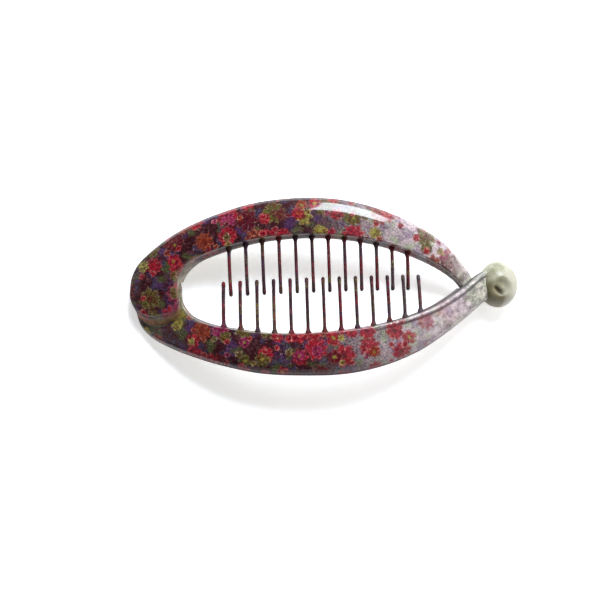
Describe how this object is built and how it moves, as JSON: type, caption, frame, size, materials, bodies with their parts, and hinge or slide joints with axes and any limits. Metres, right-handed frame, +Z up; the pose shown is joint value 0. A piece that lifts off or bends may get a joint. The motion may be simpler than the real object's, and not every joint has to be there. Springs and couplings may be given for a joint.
{
  "type": "fish mouth hair clip",
  "caption": "Bowed plastic hair clip of two combed arms that lap and pivot at one end, interlock their teeth, and close at a clasp with a round knob.",
  "frame": {"origin": "centre of the closed clip's footprint, at the surface that it lies on", "axes": "+X from the hinge to the clasp knob, +Y towards the upper arm, +Z up, the bowed side"},
  "size_m": [0.1316, 0.0603, 0.0203],
  "materials": {
    "lower_arm_plastic": "clear gloss over an all-over small floral print",
    "upper_arm_plastic": "clear gloss over an all-over small floral print",
    "knob_plastic": "moulded gloss, unprinted, pale green-cream",
    "pin_steel": "plain steel"
  },
  "bodies": {
    "lower_comb": {"lower_arm": "lower_arm_plastic", "clasp_knob": "knob_plastic", "hinge_pin": "pin_steel"},
    "upper_comb": {"upper_arm": "upper_arm_plastic"}
  },
  "joints": [
    {"name": "hinge", "type": "hinge", "parent": "lower_comb", "child": "upper_comb", "pos_m": [-0.0564, 0.0002, 0.0062], "axis": [-0.354, 0, 0.9353], "range_deg": [0, 60]}
  ]
}
